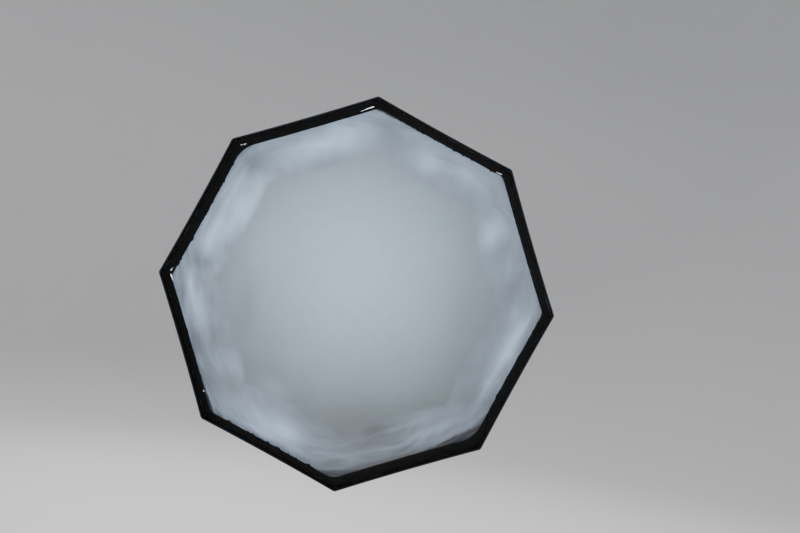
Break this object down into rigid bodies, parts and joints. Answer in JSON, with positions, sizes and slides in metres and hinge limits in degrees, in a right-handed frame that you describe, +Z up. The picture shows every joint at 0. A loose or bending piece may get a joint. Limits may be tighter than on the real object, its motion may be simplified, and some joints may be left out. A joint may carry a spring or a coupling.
{
  "type": "studio softbox",
  "caption": "Eight-sided fabric softbox with a recessed white diffuser, on a lamp head with a tilting bracket for a light stand.",
  "frame": {"origin": "centre of the stop face at the closed top of the stand socket, where a light stand's spigot ends", "axes": "+Z up along the stand socket, away from the stand; -Y forward, the way the light leaves; +X to the viewer's right when facing the diffuser"},
  "size_m": [1.2, 0.6687, 1.2],
  "materials": {
    "black_nylon": "matte",
    "hem_tape": "matte",
    "black_elastic": "matte",
    "diffuser_cloth": "matte",
    "baffle_cloth": "matte",
    "spring_steel": "satin",
    "black_plastic": "satin",
    "head_shell": "satin",
    "ring_casting": "satin",
    "bright_aluminium": "satin",
    "zinc_steel": "satin",
    "porcelain": "satin",
    "bulb_metal": "satin",
    "bulb_plastic": "satin",
    "bulb_opal": "satin"
  },
  "bodies": {
    "stand_mount": {"stand_receiver": "ring_casting"},
    "clamp_screw": {"stand_screw": "black_plastic"},
    "lamp_head": {"tilt_fork": "ring_casting", "tilt_bolt": "zinc_steel", "head_barrel": "head_shell", "front_plate": "ring_casting", "rear_cover": "head_shell", "lamp_socket": "porcelain", "bulb_base": "bulb_metal", "bulb_body": "bulb_plastic", "bulb_globe": "bulb_opal", "mount_insert": "bright_aluminium", "retaining_ring": "zinc_steel", "mains_inlet": "black_plastic", "switch_bezel": "black_plastic"},
    "lever": {"tilt_lever": "black_plastic"},
    "rocker": {"switch_rocker": "black_plastic"},
    "dial": {"dimmer_dial": "black_plastic"},
    "softbox": {"shell_panel_1": "black_nylon", "rod_1": "spring_steel", "rod_tip_1": "black_plastic", "baffle_strap_1": "black_elastic", "shell_panel_2": "black_nylon", "rod_2": "spring_steel", "rod_tip_2": "black_plastic", "baffle_strap_2": "black_elastic", "shell_panel_3": "black_nylon", "rod_3": "spring_steel", "rod_tip_3": "black_plastic", "baffle_strap_3": "black_elastic", "shell_panel_4": "black_nylon", "rod_4": "spring_steel", "rod_tip_4": "black_plastic", "baffle_strap_4": "black_elastic", "shell_panel_5": "black_nylon", "rod_5": "spring_steel", "rod_tip_5": "black_plastic", "baffle_strap_5": "black_elastic", "shell_panel_6": "black_nylon", "rod_6": "spring_steel", "rod_tip_6": "black_plastic", "baffle_strap_6": "black_elastic", "shell_panel_7": "black_nylon", "rod_7": "spring_steel", "rod_tip_7": "black_plastic", "baffle_strap_7": "black_elastic", "shell_panel_8": "black_nylon", "rod_8": "spring_steel", "rod_tip_8": "black_plastic", "baffle_strap_8": "black_elastic", "rim_lip": "black_nylon", "diffuser_hem": "hem_tape", "front_diffuser": "diffuser_cloth", "inner_baffle": "baffle_cloth", "rear_cuff": "black_nylon", "speedring": "ring_casting"},
    "ring_screw": {"ring_lock_screw": "black_plastic"}
  },
  "joints": [
    {"name": "stand_screw_turn", "type": "hinge", "parent": "stand_mount", "child": "clamp_screw", "pos_m": [0, 0.03, -0.024], "axis": [0, 1, 0], "continuous": true},
    {"name": "head_tilt", "type": "hinge", "parent": "stand_mount", "child": "lamp_head", "pos_m": [0, 0, 0.048], "axis": [1, 0, 0], "range_deg": [-60, 40]},
    {"name": "tilt_lever_turn", "type": "hinge", "parent": "lamp_head", "child": "lever", "pos_m": [0.025, 0, 0.048], "axis": [1, 0, 0], "range_deg": [0, 110]},
    {"name": "switch_rock", "type": "hinge", "parent": "lamp_head", "child": "rocker", "pos_m": [0.02, 0.089, 0.152], "axis": [0, 0, 1], "range_deg": [0, 14]},
    {"name": "dial_turn", "type": "hinge", "parent": "lamp_head", "child": "dial", "pos_m": [0, 0.1, 0.112], "axis": [0, -1, 0], "range_deg": [-135, 135]},
    {"name": "softbox_rotation", "type": "hinge", "parent": "lamp_head", "child": "softbox", "pos_m": [0, -0.071, 0.132], "axis": [0, 1, 0], "continuous": true},
    {"name": "ring_screw_turn", "type": "hinge", "parent": "softbox", "child": "ring_screw", "pos_m": [0.03061, -0.0711, 0.05809], "axis": [0.3827, 0, -0.9239], "continuous": true}
  ]
}
